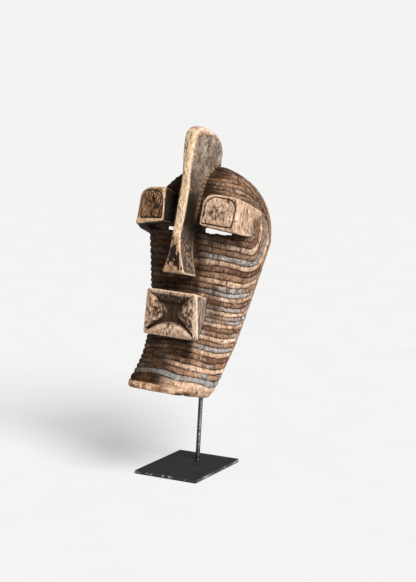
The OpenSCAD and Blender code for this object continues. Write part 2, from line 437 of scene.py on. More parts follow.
NOSE_TAN, NOSE_SOOT = srgb(176, 134, 96), srgb(16, 11, 8)
FLANK_SOOT, FLANK_BARE = srgb(60, 55, 52), srgb(150, 120, 96)


def face_soot_and_shade(p):
    """How much soot and painted shade the face has, up to 1: about nose, mouth and eyes and on its
    right half, the side away from the key light.
    """
    x, y, z = p.T
    soot_and_shade = 1.1 * np.exp(-(np.abs(x) / 29) ** 4) * ramp(z, 112, 150)
    soot_and_shade = np.maximum(soot_and_shade, 1.1 * np.exp(-((z - 68) / 19) ** 4) * np.exp(-((x + 4) / 44) ** 4))
    soot_and_shade = np.maximum(soot_and_shade, 0.7 * np.exp(-((np.abs(x) - 44) / 13) ** 2) * ramp(z, 60, 90)
                      * ramp(-z, -172, -150))
    soot_and_shade = np.maximum(soot_and_shade, 0.9 * np.exp(-((z - 230) / 20) ** 2) * ramp(-np.abs(x), -84, -70)
                      * ramp(-y, 30, 45))
    soot_and_shade = np.maximum(soot_and_shade, 1.05 * ramp(-x, 0, 28) * ramp(z, 42, 78))
    soot_and_shade = np.maximum(soot_and_shade, 1.1 * ramp(-x, -30, 14) * ramp(-z, -88, -48))
    return np.clip(soot_and_shade * (1.0 + 0.6 * rough(p, (26, 26, 20), 25)), 0, 1)


def paint_face(p, outer):
    """Colour, state and outward push of the face's points. outer is 0 in the hollow."""
    x, y, z = p.T
    number = striations(p)
    ridge = np.floor(number + 0.5)
    within = np.abs(number - ridge) * 2  # 0 on the crown, 1 in the groove
    lip = ramp(below_chin(y, z, 0), -11.5, -9.0) * ramp(-y, 20, 45)
    strip = ramp(y, -3.0, -1.0) * ramp(z, 12, 24) * outer
    bands = outer * (1 - lip) * (1 - 0.85 * strip)
    run = np.arctan2(x, -(y - 15)) * 62
    along = np.stack([run, ridge * 9.7, np.zeros_like(run)], axis=1)
    cuts = noise(along, (2.3, 3.0, 1.0), 2)
    patch = noise(along, (15.0, 3.0, 1.0), 6)
    depth = 1.95 + 0.45 * noise(along, (11.0, 3.0, 1.0), 8)
    push = bands * (0.5 - depth * within ** 3.2 + 0.22 * cuts * (1 - within)
                    + 0.25 * noise(p, 5.0, 11))
    push += (1 - bands) * outer * 0.35 * rough(p, (9, 9, 5), 12)
    push += (1 - outer) * 0.55 * noise(p, (9.0, 9.0, 16.0), 13)

    kind = np.mod(ridge, 6)
    colour = np.broadcast_to(TAN, (len(p), 3)).copy()
    tint = noise(along, (7.0, 3.0, 1.0), 21)
    choice = {0: mix(GREY, MID, ramp(-patch, 0.15, 0.6) * 0.8),
              1: mix(MID, GREY, ramp(patch, 0.0, 0.5) * 0.8),
              2: mix(TAN, PALE, ramp(patch, -0.3, 0.7) * 0.6),
              3: mix(MID, GREY, ramp(-patch, -0.1, 0.4) * 0.85),
              4: mix(BROWN, MID, ramp(patch, 0.1, 0.8) * 0.7),
              5: mix(TAN, PALE, ramp(patch, -0.1, 0.8) * 0.5)}
    for k, value in choice.items():
        colour = np.where((kind == k)[:, None], value, colour)
    colour = mix(colour, MID, 0.12 + 0.3 * ramp(tint, -0.2, 0.5))
    dome = ramp(z, 246, 280)
    streak = noise(along, (16.0, 1.0, 1.0), 28)
    colour = mix(colour, mix(DOME, DOME_STREAK, ramp(streak, -0.35, 0.35)), 0.85 * dome)
    # painted light: the face's left half, on the key light's side, is made 1.3 times brighter below
    # 150 to 190 mm
    colour = mix(colour, np.clip(colour * 1.3, 0, 1), ramp(-z, -190, -150) * ramp(x, -20, 20))
    groove = ramp(within + 0.22 * noise(along, (5.0, 3.0, 1.0), 27), 0.68, 0.95)
    # painted shade: a dark spot at each tie hole, for the shade on its wall
    hole_wall_shade = np.exp(-((y + 5.2) / 2) ** 2 - ((z - 128.5) / 2.2) ** 2)
    # the dark streak in the last coat of bare is painted shade in the chin's crack
    bare = coats(mix(LIP, LIP_WORN, spots(p, (5, 5, 14), 22, -0.3, 0.5)),
                 (BROWN, 0.7 * spots(p, (7, 7, 4), 23, 0.15, 0.45)),
                 (DARK, 0.9 * np.exp(-((x - 40 - z) / 5) ** 2 - ((z - 5) / 4) ** 2) * (y < -60)))
    colour = coats(
        colour,
        (BROWN, 0.62 * ramp(-cuts, 0.05, 0.75) * (1 - 0.6 * dome)),
        (PALE, 0.50 * ramp(cuts, 0.30, 0.85) * ramp(-within, -0.75, -0.1)),
        (DARK, 0.62 * spots(p, (3.2, 3.2, 2.4), 26, 0.12, 0.46)),
        (DARK, 0.93 * groove * (1 - 0.8 * strip)),
        (RIM_STRIP, 0.6 * strip),
        (DARK, 0.9 * hole_wall_shade),
        (bare, lip))

    # soot with painted shade: under the eyes, about nose and mouth and over the face's right half
    soot_and_shade = face_soot_and_shade(p)
    last_number = np.floor(striations(np.array([[-20.0, CHIN_Y, 24.0]]))[0] + 1.5)
    last = ridge == last_number
    soot_and_shade *= 1 - 0.62 * last * ramp(-within, -0.9, -0.5) * (z < 60)
    under = (number < last_number - 0.5) * (z < 34) * bands
    ashen = 0.7 * last * (z < 60) * bands * ramp(-within, -0.8, -0.5)
    colour = coats(
        colour,
        (UMBER, 0.85 * under * ramp(-x, -24, 4)),
        (mix(TAN, PALE, 0.35), 0.6 * under * ramp(x, -4, 24)),
        (mix(ASHEN, GREY, ramp(x, -25, 5)), ashen),
        (mix(SOOT_AND_SHADE, THICK_SOOT_AND_SHADE, spots(p, (7, 7, 3), 29, -0.4, 0.3) * 0.8), 0.93 * soot_and_shade * bands))

    inside = mix(HOLLOW, HOLLOW_STAIN, spots(p, (18, 18, 30), 31, -0.4, 0.5))
    inside = mix(inside, HOLLOW_RIM, ramp(y, RIM_Y - 2.5, RIM_Y - 0.3) * 0.8)
    colour = mix(inside, colour, outer)
    return colour, np.stack([np.maximum(groove * bands, soot_and_shade), 1 - within * bands], axis=1), push


def build_face():
    step = 1.0
    lo, hi = (-92, -92, -3), (92, 11, 341)
    x, y, z = grid(lo, hi, step)
    points, quads = surface(face_field(x, y, z, step), lo, step)
    normal = vertex_normals(points, quads)
    outer = ramp(section(*points.T, 0) - 1, -0.075, -0.03) * ramp(-normal[:, 1], -0.75, -0.35)
    return carved("carved_face", points, normal, quads, paint_face(points, outer),
                  "face_shell")


# ---- raised features -------------------------------------------------------------------------

LOOP_HALF_W, LOOP_HALF_H = 21.5, 19.3  # the loop cut in the front of each eye block
MOUTH_HALF_W, MOUTH_HALF_H = 42.6, 32.8  # the mouth's front, at mid height
MOUTH_DEEP = 8.0
NOSE_FOOT, NOSE_TOP, NOSE_HALF = 164, 217, 17.5  # the nose's heights, and its half width below
BLADE_ROUND_Z = 350  # height of the middle of the crest's rounded top


def edge_wear(distances):
    """Distance of each point from the nearest edge of its block, along the surface."""
    ordered = np.sort(np.stack(distances, axis=1), axis=1)
    return -ordered[:, -2]


def worn_wood(p, near_edge, flecks, shift, darkness=0.0):
    """Colour of a rubbed raised feature: tan with dark flecks, paler along its edges."""
    return coats(
        mix(TAN, PALE, spots(p, (12, 12, 18), shift, -0.35, 0.7) * 0.55),
        (SMUDGE, (0.35 + 0.5 * darkness) * spots(p, (9, 9, 7), shift + 6, -0.1, 0.5)),
        (DARK, 0.9 * spots(p, flecks, shift + 3, 0.26 - 0.3 * darkness, 0.46 - 0.2 * darkness, 2)
         * ramp(near_edge, 0.5, 3.5)),
        (PALE, 0.7 * ramp(-near_edge, -3.6, -0.4)))


def frame_axes(plane, corners):
    """Middle, across and up axes of a block's front face."""
    c = np.array(corners, dtype=float)
    n = plane[0]
    across = (c[1] + c[2] - c[0] - c[3]) / 2
    across -= n * (across @ n)
    across /= np.linalg.norm(across)
    up = np.cross(across, n)
    up = up if up[2] > 0 else -up
    return c.mean(axis=0), across, up


def build_eye(side, name, node):
    """One eye block, shaped as the left one and mirrored at the end for the right."""
    top = 279 if side > 0 else 282
    front = [[28, -101.5, 231.5], [79.8, -90.5, 230.7], [80, -97, top], [30.2, -113.6, top]]
    back = [[28, -30, 247], [88.5, -30, 235.5], [81, -30, top], [30.2, -30, top]]
    faces = planes(front, back)
    step = 0.7
    lo, hi = (24, -117, 226), (91, -26, 286)
    x, y, z = grid(lo, hi, step)
    d = [plane_distance(f, x, y, z) for f in faces]
    f = smax(d[0], d[5], 7.0 if side > 0 else 4.5)
    corner = ramp(-x, -50, -32) if side > 0 else ramp(x, 55, 76)
    f = smax(f, d[4], 5.5)
    f = smax(f, d[3], 6.5 + 9.0 * corner)
    f = smax(f, d[2], 4.5)
    f = smax(f, d[1], 2.0)
    if side < 0:
        sill = 231 - 13 * np.clip((y + 88) / 38, 0, 1)
        bracket = smax(smax(sill - z, d[5] + 0.5, 3.0), np.maximum(65 - x, z - 233), 2.0)
        f = smin(f, np.maximum(bracket, d[0] + 2), 2.5)
    skin = as_distance(section(x, y, z, 0), step)
    f = smax(f, -(skin + 2.5), 0.5)
    points, quads = surface(f, lo, step)
    normal = vertex_normals(points, quads)
    painted = paint_eye(points, normal, faces, front, side)
    return carved(name, points, normal, quads, painted, node, side)


def paint_eye(p, normal, faces, front, side):
    """Colour, state and outward push of an eye block's points, with the loop cut in its front."""
    px, py, pz = p.T
    d = [plane_distance(q, px, py, pz) for q in faces]
    seed = 40 if side > 0 else 60
    near_edge = edge_wear([d[0], d[2], d[3], d[4], d[5]])
    middle, across, up = frame_axes(faces[0], front)
    a = (p - middle) @ across
    b = (p - middle) @ up
    on_front = ramp(normal @ faces[0][0], 0.75, 0.92)
    wobble = 0.35 * noise(p, 9.0, seed)
    a = a - 0.09 * b * (side > 0)
    arch = np.where(b > 0, np.where(a * side > 0, 16.5, 12.5), 2.0)
    qa, qb = np.abs(a) - LOOP_HALF_W + arch, np.abs(b - 0.6) - LOOP_HALF_H + arch
    loop = (np.hypot(np.maximum(qa, 0), np.maximum(qb, 0)) + np.minimum(np.maximum(qa, qb), 0)
            - arch + wobble)
    groove = np.exp(-(loop / 1.05) ** 4) * on_front
    pillow = np.clip(1 - (a / 20) ** 2, 0, 1) * np.clip(1 - (b / 18.5) ** 2, 0, 1) * on_front
    push = -1.9 * groove + 0.9 * pillow + 0.28 * rough(p, (7, 7, 10), seed + 1)
    push += -0.35 * spots(p, (1.6, 1.6, 5.0), seed + 2, 0.3, 0.6, 2)

    panel = ramp(-loop, 0.0, 1.5) * on_front
    worse = 0.0 if side > 0 else 0.75 * panel
    smoke = on_front * np.exp(-((a + 4) / 15) ** 2 - ((b + 1) / 10) ** 2)
    smoke *= spots(p, (4, 4, 3), seed + 9, -0.35, 0.3)
    # painted shade, partly soot: the block's underside and its side towards the nose go near black
    below = ramp(normal @ faces[2][0], 0.3, 0.8)
    inner = ramp(normal @ faces[4][0], 0.45, 0.85)
    outside = ramp(normal @ faces[5][0], 0.6, 0.9)
    shade = np.maximum(below, inner) * ramp(near_edge, 0.4, 2.0)
    side_smoke = outside * spots(p, (3, 3, 9), seed + 12, 0.0, 0.5)
    colour = coats(
        worn_wood(p, near_edge, (2.2, 2.2, 5.0), seed + 5, worse),
        (DARK, 0.85 * smoke),
        (BLACK, 0.94 * groove),
        (EYE_SHADE, 0.95 * shade),
        (BROWN, 0.65 * side_smoke * ramp(near_edge, 3.0, 9.0)),
        (DARK, 0.8 * ramp(-section(px, py, pz, 0), -1.06, -1.0)))
    if side < 0:
        scrawl = panel * spots(p, (3.2, 3.2, 6.5), 77, -0.02, 0.22) * ramp(-a, -12, 2)
        light = np.maximum(ramp(-a, 19, 22), ramp(-b, 17, 20))
        border = on_front * ramp(loop, 1.0, 1.8)
        colour = coats(
            colour,
            (colour * PANEL_TINT, 0.9 * panel),
            (BLACK, 0.85 * scrawl),
            (BORDER, 0.85 * border * (1 - light)),
            (BORDER_PALE, 0.92 * border * light))
    grime_and_shade = np.maximum(np.maximum(groove, shade), 0.5 * smoke)
    return colour, np.stack([grime_and_shade, ramp(-near_edge, -3, 0)], axis=1), push


def build_mouth():
    front = [[-44.6, -67, 79], [44.6, -67, 79], [40.5, -88.6, 141], [-40.5, -88.6, 141]]
    back = [[-42.6, -20, 88], [42.6, -20, 88], [37, -20, 144], [-37, -20, 144]]
    faces = planes(front, back)
    step = 0.7
    lo, hi = (-49, -93, 74), (49, -34, 148)
    x, y, z = grid(lo, hi, step)
    middle, across, up = frame_axes(faces[0], front)
    a = (x - middle[0]) * across[0] + (y - middle[1]) * across[1] + (z - middle[2]) * across[2]
    b = (x - middle[0]) * up[0] + (y - middle[1]) * up[1] + (z - middle[2]) * up[2]
    sunk = mouth_star(a, b)[0]
    d = [plane_distance(f, x, y, z) for f in faces]
    f = smax(d[4], d[5], 4.0)
    f = smax(f, d[3], 4.0)
    f = smax(f, d[2], 4.0)
    f = smax(f, d[0], 3.5)
    f = smax(f, d[0] + sunk, 0.8)
    skin = as_distance(section(x, y, z, 0), step)
    f = smax(f, -(skin + 2.5), 0.5)
    points, quads = surface(f, lo, step)
    normal = vertex_normals(points, quads)
    painted = paint_mouth(points, normal, faces, front)
    return carved("carved_mouth", points, normal, quads, painted, "mouth_block")


def paint_mouth(p, normal, faces, front):
    """Colour, state and outward push of the mouth's points."""
    px, py, pz = p.T
    d = [plane_distance(q, px, py, pz) for q in faces]
    near_edge = edge_wear([d[0], d[2], d[3], d[4], d[5]])
    middle, across, up = frame_axes(faces[0], front)
    a, b = (p - middle) @ across, (p - middle) @ up
    sunk, seam, lobe = mouth_star(a, b)
    ahead = ramp(d[0], -11.5, -9.0) * ramp(normal @ faces[0][0], 0.1, 0.4)
    hatch = np.exp(-((np.mod(a + 0.8 * noise(p, 6.0, 84), 5.2) - 2.6) / 0.9) ** 2)
    hatch *= lobe["top"] * ahead * ramp(sunk, 0.4, 1.2)
    push = -0.9 * hatch - 1.2 * seam * ahead + 0.3 * rough(p, (7, 7, 9), 81)
    push += -0.4 * spots(p, (1.8, 1.8, 4.5), 82, 0.3, 0.6, 2)
    top = lobe["top"] * ahead * ramp(hatch + 0.7 * rough(p, 5, 87), -0.8, 0.1)
    sides = lobe["side"] * ahead * spots(p, (3, 3, 6), 88, -0.2, 0.25)
    # painted shade, partly soot: the block's underside goes dark
    below = ramp(normal @ faces[2][0], 0.4, 0.85)
    flank = np.maximum(ramp(normal @ faces[4][0], 0.6, 0.9), ramp(normal @ faces[5][0], 0.6, 0.9))
    flank = flank * ramp(near_edge, 1.2, 3.5)
    colour = coats(
        worn_wood(p, near_edge, (3.0, 3.0, 4.5), 85, 0.2),
        (DARK, 0.9 * top * ramp(sunk, 0.2, 1.2)),
        (DARK, 0.85 * sides * ramp(MOUTH_HALF_W - np.abs(a), 5.0, 9.0)),
        (DARK, 0.8 * ahead * ramp(sunk, 3.0, 5.2)),
        # partly wear, partly painted highlight: a pale band along the front's +x edge, towards the
        # key light
        (PALE, 0.55 * ahead * ramp(a, 34.0, 37.0)),
        (mix(PIT, DARK, spots(p, (5, 5, 9), 86, -0.2, 0.4)), 0.95 * ahead * ramp(sunk, 5.2, 6.6)),
        (BLACK, 0.85 * seam * ahead),
        (mix(MID, GREY, 0.55), 0.75 * flank),
        (DARK, 0.8 * flank * spots(p, (2.2, 2.2, 13.0), 90, -0.25, 0.35, 2)),
        (DARK, 0.85 * below * ramp(near_edge, 0.5, 3.0)),
        (DARK, 0.75 * ramp(-section(px, py, pz, 0), -1.07, -1.0)))
    grime_and_shade = np.maximum(seam * ahead, below * 0.5)
    return colour, np.stack([grime_and_shade, ramp(-near_edge, -3, 0)], axis=1), push


def mouth_star(a, b):
    """Depth of the four-lobed hollow in the mouth's front, its seams and its lobes."""
    border = np.where(a > 0, 0.82, 0.92)
    ceiling, bottom = 0.87, 0.92
    across, up = np.abs(a) / (MOUTH_HALF_W - 0.062 * b), b / MOUTH_HALF_H
    waist = np.where(a > 0, 0.15, 0.25)
    bound = waist + (border - waist) * np.clip(np.abs(up - 0.05) / 0.83, 0, 1.1) ** 1.5
    q_side = (across - bound) / np.maximum(border - bound, 0.05)
    q_top = (up - 0.46) / (ceiling - 0.46)
    arch = -0.40 - 0.50 * np.clip(across / border, 0, 1) ** 2.2
    q_low = (arch - up) / np.maximum(arch + bottom, 0.05)

    def slope(q, depth, power):
        return np.where(q > 0, depth * np.clip(1 - q, 0, 1) ** power, MOUTH_DEEP)

    sunk = np.minimum(np.minimum(slope(q_side, 6.5, 3.4), slope(q_top, 5.2, 1.1)),
                      slope(q_low, 5.6, 2.6))
    sunk = np.where((across > border) | (up > ceiling) | (up < -bottom), 0, sunk)
    beyond = ramp(np.abs(up - 0.03), 0.36, 0.46)
    seam = np.exp(-((across - bound) * 42 / 1.1) ** 2) * beyond * (across < border) * (
        up < ceiling) * (up > -bottom)
    lobe = {"side": (q_side > 0) * 1.0, "top": ((q_top > 0) & (q_side < 0)) * 1.0}
    return sunk, seam, lobe


def crest_side():
    """Side outline of the crest, as (y, z)."""
    line = [(-35, 182), (-100.2, 182), (-106.8, 204), (-109.8, 218), (-110.6, 240), (-112, 262),
            (-114.8, 283), (-120, 303), (-125, 325)]
    line += [(-100 - 28.5 * cos(radians(a)), BLADE_ROUND_Z + 22.5 * sin(radians(a)))
             for a in range(0, 91, 10)]
    line += [(-72 + 33 * cos(radians(a)), 343 + 30 * sin(radians(a))) for a in range(90, -1, -10)]
    return line + [(-33, 328), (-33, 300)]


def crest_half(z):
    """Half the crest's thickness: thin over the brow, thicker at the top."""
    return (7.2 - 1.6 * np.exp(-((z - 302) / 20) ** 2) + 1.0 * ramp(z, 315, 350)
            - 0.7 * np.exp(-((z - 222) / 22) ** 2))


def build_crest():
    foot = [[-NOSE_HALF, -95.5, NOSE_FOOT], [NOSE_HALF, -95.5, NOSE_FOOT]]
    nose = planes(foot + [[2.0, -111.2, 223], [-2.0, -111.2, 223]],
                  [[-NOSE_HALF, -35, 172], [NOSE_HALF, -35, 172], [4.5, -35, 223], [-4.5, -35, 223]])
    step = 0.8
    lo, hi = (-22, -134, 158), (22, -32, 378)
    x, y, z = grid(lo, hi, step)
    side = polygon_distance(crest_side(), y[0], z[0])[None]
    blade = smax(side, np.abs(x) - crest_half(z), 4.5)
    d = [plane_distance(f, x, y, z) for f in nose]
    flare = 1.1 * np.exp(-((z - 190) / 13) ** 2) - 0.8 * ramp(-z, -172, -165)
    beak = smax(d[4] + flare, d[5] + flare, 3.0)
    beak = smax(beak, d[0], 3.5)
    beak = smax(beak, d[2], 3.5)
    beak = np.maximum(beak, z - NOSE_TOP)
    f = smin(blade, beak, 3.0)
    skin = as_distance(section(x, y, z, 0), step)
    root = skin + 1.2 + 0.55 * np.maximum(np.abs(x) - 8.0, 0) + 30 * ramp(z, 322, 338)
    f = np.where((z > 205) & (y > -98), smin(f, root, 12.0 * ramp(z, 205, 235) + 0.01), f)
    f = smax(f, -(skin + 2.5), 0.5)
    points, quads = surface(f, lo, step)
    normal = vertex_normals(points, quads)
    painted = paint_crest(points, normal, nose)
    return carved("carved_crest", points, normal, quads, painted, "nose_crest")


def paint_crest(p, normal, nose):
    """Colour, state and outward push of the crest's and nose's points."""
    px, py, pz = p.T
    border = -polygon_distance(crest_side(), py, pz)
    over = ramp(pz, 196, 224)
    d_nose = [plane_distance(q, px, py, pz) for q in nose]
    near_nose = edge_wear([d_nose[0], d_nose[2], d_nose[4], d_nose[5]])
    flat = ramp(np.abs(normal[:, 0]), 0.55, 0.85)
    front = ramp(-normal[:, 1], 0.55, 0.85)
    near_edge = near_nose + (np.where(flat > 0.5, border - 3, 3.0) - near_nose) * over
    push = 0.35 * rough(p, (8, 8, 14), 101)
    push -= 0.4 * spots(p, (1.8, 1.8, 5.0), 102, 0.3, 0.6, 2)
    ahead = ramp(-py, 75, 100)
    worn = 2.0 + ahead * (4.0 + 2.8 * ramp(pz, 300, 345)) + 2.8 * rough(p, (6, 6, 6), 107)
    smoke = flat * over * ramp(border, worn - 1.0, worn + 1.2)
    ash = coats(
        mix(ASH, ASH_STREAK, spots(p, (9, 9, 12), 108, -0.5, 0.5)),
        (ASH_LOW, 0.85 * ramp(-pz, -345, -285)),
        (TAN, 0.6 * spots(p, (2.2, 2.2, 2.6), 109, 0.26, 0.5)),
        (DARK, 0.75 * spots(p, (2.5, 2.5, 3.2), 110, 0.12, 0.45)))
    # painted shade, partly soot: the crest's sides low down, between it and the eye blocks, go near
    # black
    low = flat * ramp(-pz, -300, -262) * ramp(border, 2.0, 4.5) * ramp(pz, 214, 234)
    specks = ramp(rough(p, (3, 3, 8), 111) - 0.03 * px, 0.22, 0.5) * ramp(-pz, -376, -355)
    half = NOSE_HALF - (pz - NOSE_FOOT) * 11 / 43
    rubbed = rough(p, (3.2, 3.2, 6.5), 112)
    facing = ramp(-normal[:, 1], 0.6, 0.85)
    patch = facing * ramp(half - 3.6 - np.abs(px + 0.4) + 7.5 * rubbed, -0.8, 1.2)
    patch = patch * ramp(pz - 174 + 14 * rubbed, -1.5, 2.5) * ramp(-pz + 16 * rubbed, -212, -203)
    flank = flat * ramp(-pz, -234, -214) * ramp(near_nose, 1.5, 3.5)
    bare = spots(p, (2.4, 2.4, 3.5), 113, 0.02, 0.4) * ramp(-pz, -228, -196)
    seat = section(px, py, pz, 0) - 1
    number = striations(p)
    within = np.abs(number - np.floor(number + 0.5)) * 2
    root = ramp(-seat, -0.075, -0.02) * ramp(pz, 235, 255)
    push = push - 1.3 * root * within ** 3.2
    colour = coats(
        worn_wood(p, near_edge, (2.4, 2.4, 8.0), 105),
        (ash, 0.95 * smoke),
        (mix(BLACK, DARK, 0.2), 0.95 * low),
        (CREST_FRONT, 0.6 * front * over),
        (DARK, 0.8 * front * over * specks),
        (NOSE_TAN, 0.6 * facing * (pz < 214)),
        (NOSE_SOOT, 0.96 * patch),
        (mix(FLANK_SOOT, FLANK_BARE, bare), 0.93 * flank),
        (ROOT_TAN, 0.85 * root),
        (DARK, 0.9 * root * ramp(within, 0.6, 0.9)),
        (TAN, 0.6 * (1 - over) * flat * ramp(-seat, -0.045, -0.03)),
        # painted shade, partly soot: the nose's downward faces below 185 mm go dark
        (DARK, 0.85 * ramp(-normal[:, 2], 0.6, 0.85) * (pz < 185)))
    grime_and_shade = np.maximum(0.5 * smoke, np.maximum(patch, low))
    return colour, np.stack([grime_and_shade, ramp(-near_edge, -3, 0)], axis=1), push


# ---- fixing behind the face ------------------------------------------------------------------

def build_batten():
    step = 0.9
    lo, hi = (-84, -75, 130), (84, 40, 300)
    x, y, z = grid(lo, hi, step)
    u, v, w = mask_to_post(x, y, z)
    box = smax(np.abs(v) - BAR_T / 2, np.abs(w - BAR_Z - BAR_H / 2) - BAR_H / 2, 1.6)
    inner = as_distance(section(x, y, z, WALL), step)
    f = smax(box, inner, 1.0)
    bore = np.maximum(np.hypot(u, v) - BORE_R, w - BAR_Z - BORE_DEPTH)
    f = smax(f, -bore, 0.6)
    points, quads = surface(f, lo, step)
    normal = vertex_normals(points, quads)
    push = 0.12 * rough(points, (30, 4, 4), 121)
    colour = mix(srgb(198, 160, 112), srgb(160, 118, 76), spots(points, (60, 3, 3), 123, -0.5, 0.5))
    colour = mix(colour, srgb(128, 92, 60), 0.35 * spots(points, (2.2, 12, 12), 122, 0.1, 0.7))
    # painted shade: the wall of the post's bore goes dark
    bu, bv, bw = mask_to_post(*points.T)
    dark = ramp(-np.hypot(bu, bv), -BORE_R - 1.2, -BORE_R) * (bw < BAR_Z + BORE_DEPTH + 1)
    colour = mix(colour, srgb(70, 46, 30), 0.8 * dark)
    painted = colour, np.stack([dark, np.zeros(len(points))], axis=1), push
    return carved("hanging_batten", points, normal, quads, painted, "crossbar")


def build_screws():
    """Two countersunk wood screws with cross recesses, driven askew through the batten's ends."""
    radius, length, head_r, pitch, askew = 1.75, 26.0, 3.5, 1.8, radians(40)
    step = 0.25
    lo, hi = (-4.5, -4.5, -1.5), (4.5, 4.5, length + 1)
    x, y, z = grid(lo, hi, step)
    r = np.hypot(x, y) + 0 * z
    head = np.maximum(np.maximum(r - head_r + 0.7 * (z + 0.5), -z - 0.5), z - 2)
    winding = np.abs(np.mod(z / pitch - np.arctan2(y, x) / (2 * pi), 1) * 2 - 1) ** 1.5
    thread = 1.25 + 0.5 * winding - 0.3 * np.maximum(z - length + 4, 0)
    shank = np.maximum(r - np.where(z < 7, radius - 0.1, thread), np.maximum(-z, z - length))
    f = smin(head, shank, 0.3)
    cross = np.maximum(np.minimum(np.abs(x), np.abs(y)) - 0.55, r - 2.2 + 0.5 * (z + 0.5))
    f = np.maximum(f, -np.maximum(cross, z - 1.6))
    shape, quads = surface(f, lo, step)
    points, faces = [], []
    for side in (-1, 1):
        along = np.array([side * cos(askew), -sin(askew), 0])
        up = np.array([0, 0, 1.0])
        seat = np.array([side * 62, BAR_T / 2, BAR_Z + BAR_H / 2])
        placed = (seat + shape[:, :1] * np.cross(up, along) + shape[:, 1:2] * up
                  + shape[:, 2:] * along)
        faces.append(quads + len(shape) * len(points))
        points.append((placed @ POST_TURN.T + np.array(POST_FOOT)) * MM)
    points = np.concatenate(points)
    plain = np.zeros((len(points), 3))
    return make("batten_screws", points, np.concatenate(faces), "mask",
                ["crossbar_screws"], plain + 0.5, plain)


# ---- materials -------------------------------------------------------------------------------

class Graph:
    """A short way to write a node material."""

    def __init__(self, name):
        self.material = bpy.data.materials.new(name)
        self.material.use_nodes = True
        self.tree = self.material.node_tree
        self.shader = self.tree.nodes["Principled BSDF"]
        self.place = self.node("ShaderNodeTexCoord").outputs["Object"]

    def node(self, kind, inputs=(), **settings):
        made = self.tree.nodes.new(kind)
        for key, value in settings.items():
            setattr(made, key, value)
        for key, value in dict(inputs).items():
            self.put(made.inputs[key], value)
        return made

    def put(self, socket, value):
        if isinstance(value, bpy.types.NodeSocket):
            self.tree.links.new(value, socket)
        else:
            socket.default_value = value

    def attribute(self, name):
        return self.node("ShaderNodeAttribute", attribute_name=name).outputs["Color"]

    def channels(self, colour):
        return self.node("ShaderNodeSeparateColor", {"Color": colour}).outputs

    def stretched(self, scale):
        return self.node("ShaderNodeMapping", {"Vector": self.place, "Scale": scale}).outputs[0]

    def noise(self, scale, detail=4.0, roughness=0.6, vector=None, distortion=0.0):
        return self.node("ShaderNodeTexNoise", {
            "Vector": vector or self.place, "Scale": scale, "Detail": detail,
            "Roughness": roughness, "Distortion": distortion}).outputs["Fac"]

    def math(self, operation, a, b=0.0):
        return self.node("ShaderNodeMath", {0: a, 1: b}, operation=operation).outputs[0]

    def span(self, value, lo, hi, to_lo=0.0, to_hi=1.0):
        return self.node("ShaderNodeMapRange", {
            "Value": value, "From Min": lo, "From Max": hi, "To Min": to_lo,
            "To Max": to_hi}).outputs[0]

    def mix(self, factor, a, b, blend="MIX"):
        made = self.node("ShaderNodeMix", data_type="RGBA", blend_type=blend)
        self.put(made.inputs[0], factor)
        self.put(made.inputs[6], a)
        self.put(made.inputs[7], b)
        return made.outputs[2]

    def bump(self, height, strength, distance, normal=None):
        made = self.node("ShaderNodeBump", {"Height": height, "Strength": strength,
                                            "Distance": distance})
        if normal is not None:
            self.put(made.inputs["Normal"], normal)
        return made.outputs[0]

    def finish(self, colour, roughness, normal, **uniform):
        self.put(self.shader.inputs["Base Color"], colour)
        self.put(self.shader.inputs["Roughness"], roughness)
        self.put(self.shader.inputs["Normal"], normal)
        for key, value in uniform.items():
            self.shader.inputs[key.replace("_", " ")].default_value = value
        return self.material


def rgba(*rgb):
    return (*srgb(*rgb), 1.0)


def carved_wood(name, grain, shine):
    """Old pigment over carved wood. grain scales the fibres along each axis."""
    g = Graph(name)
    paint, state = g.attribute("paint"), g.channels(g.attribute("state"))
    # the first state channel holds grime and painted shade alike
    grime_and_shade, wear = state[0], state[1]
    fibres = g.noise(900, 3, 0.6, g.stretched(grain))
    pores = g.noise(1500, 2, 0.5, g.stretched((1.0, 1.0, 0.35)))
    dust = g.noise(160, 5, 0.65)
    flecks = g.noise(330, 4, 0.72, g.stretched((1.0, 1.0, 0.6)))
    colour = g.mix(g.span(fibres, 0.38, 0.68, 0.0, 0.68), paint, rgba(40, 27, 20), "MULTIPLY")
    clean = g.span(grime_and_shade, 0.0, 0.8, 1.0, 0.06)
    haze = g.math("MULTIPLY", g.span(dust, 0.52, 0.75, 0.0, 0.30), clean)
    colour = g.mix(haze, colour, rgba(226, 196, 164))
    colour = g.mix(g.span(flecks, 0.57, 0.68, 0.0, 0.8), colour, rgba(36, 23, 15))
    bright = g.math("MULTIPLY", g.span(flecks, 0.40, 0.30, 0.0, 0.5), clean)
    colour = g.mix(bright, colour, rgba(232, 208, 182))
    colour = g.mix(g.span(pores, 0.60, 0.72, 0.0, 0.45), colour, rgba(36, 25, 19))
    roughness = g.math("ADD", g.span(dust, 0.3, 0.7, shine, shine + 0.22),
                       g.math("MULTIPLY", grime_and_shade, 0.12))
    roughness = g.math("SUBTRACT", roughness, g.math("MULTIPLY", wear, 0.08))
    height = g.math("ADD", g.math("MULTIPLY", fibres, 0.6), g.math("MULTIPLY", pores, 0.4))
    normal = g.bump(height, 0.55, 0.0007)
    normal = g.bump(dust, 0.35, 0.0009, normal)
    return g.finish(colour, roughness, normal, Specular_IOR_Level=0.12)


def plain_wood(name):
    g = Graph(name)
    paint = g.attribute("paint")
    fibres = g.noise(700, 4, 0.6, g.stretched((0.06, 1.0, 1.0)))
    flecks = g.noise(1400, 2, 0.5, g.stretched((0.2, 1.0, 1.0)))
    colour = g.mix(g.span(fibres, 0.35, 0.7, 0.0, 0.5), paint, rgba(122, 84, 52), "MULTIPLY")
    colour = g.mix(g.span(flecks, 0.62, 0.72, 0.0, 0.4), colour, rgba(84, 56, 36))
    return g.finish(colour, g.span(fibres, 0.3, 0.7, 0.62, 0.82),
                    g.bump(fibres, 0.5, 0.0006), Specular_IOR_Level=0.3)


